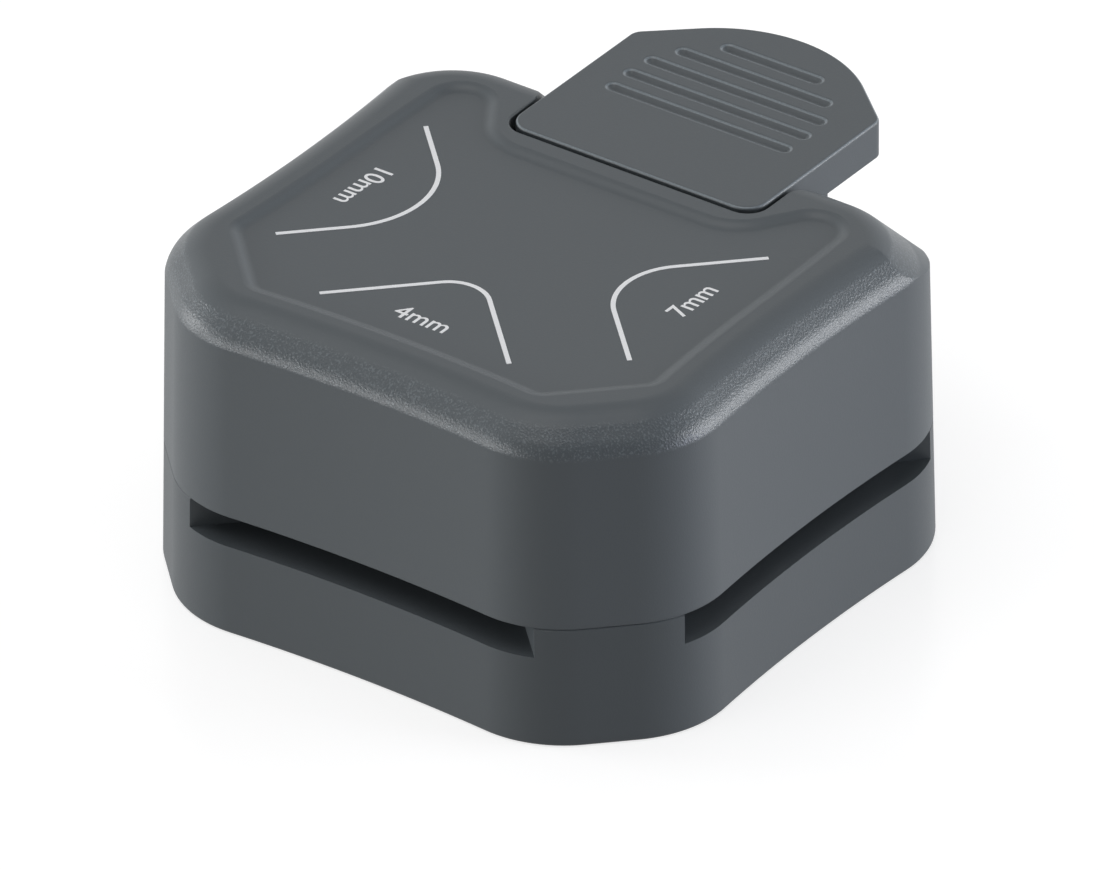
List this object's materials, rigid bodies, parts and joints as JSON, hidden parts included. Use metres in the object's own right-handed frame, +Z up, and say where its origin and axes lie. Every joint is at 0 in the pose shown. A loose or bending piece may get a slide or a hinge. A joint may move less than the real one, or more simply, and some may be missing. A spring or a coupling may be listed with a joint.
{
  "type": "corner punch",
  "caption": "Square desk corner punch with hollow sides: a rear press lever drives hardened punches that round paper corners fed into side slots.",
  "frame": {"origin": "on the table, under the middle of the body", "axes": "+X to the right along the front face, +Y towards the lever's tab at the rear, +Z up"},
  "size_m": [0.063, 0.0739, 0.0351],
  "materials": {
    "charcoal_abs": "fine spark-grained charcoal ABS",
    "inner_plastic": "plain black moulded nylon",
    "tool_steel": "ground hardened steel",
    "plated_steel": "zinc-plated steel",
    "spring_steel": "drawn spring wire",
    "bronze": "sintered bronze"
  },
  "bodies": {
    "frame": {"upper_housing": "charcoal_abs", "base_housing": "charcoal_abs", "lever_pin": "plated_steel", "pin_cap_left": "inner_plastic", "pin_cap_right": "inner_plastic", "pin_cap_screws": "plated_steel", "guide_post_left": "plated_steel", "guide_post_right": "plated_steel", "return_spring": "spring_steel", "stripper_plate": "tool_steel", "paper_guide": "plated_steel", "die_plate": "tool_steel", "die_screws": "plated_steel", "cover_hinge_pin": "plated_steel", "housing_screws": "plated_steel"},
    "lever": {"press_lever": "charcoal_abs"},
    "punch_block": {"punch_holder": "inner_plastic", "punch_10mm": "tool_steel", "punch_7mm": "tool_steel", "punch_4mm": "tool_steel", "punch_screws": "plated_steel", "pressure_pad": "tool_steel", "guide_bush_left": "bronze", "guide_bush_right": "bronze"},
    "cover": {"waste_cover": "charcoal_abs"}
  },
  "joints": [
    {"name": "lever_press", "type": "hinge", "parent": "frame", "child": "lever", "pos_m": [0, -0.019, 0.0241], "axis": [-1, 0, 0], "range_deg": [0, 8.12], "stiffness_Nm_per_rad": 0.2, "springref_deg": -5.73},
    {"name": "punch_slide", "type": "slide", "parent": "frame", "child": "punch_block", "axis": [0, 0, -1], "range_m": [0, 0.0027], "stiffness_N_per_m": 20, "springref_m": -0.0098, "deforming": ["return_spring"]},
    {"name": "cover_hinge", "type": "hinge", "parent": "frame", "child": "cover", "pos_m": [0, 0.023, 0.0024], "axis": [1, 0, 0], "range_deg": [0, 90]}
  ],
  "couplings": [
    {"joint": "punch_slide", "follows": "lever_press", "m_per_rad": 0.01904}
  ]
}
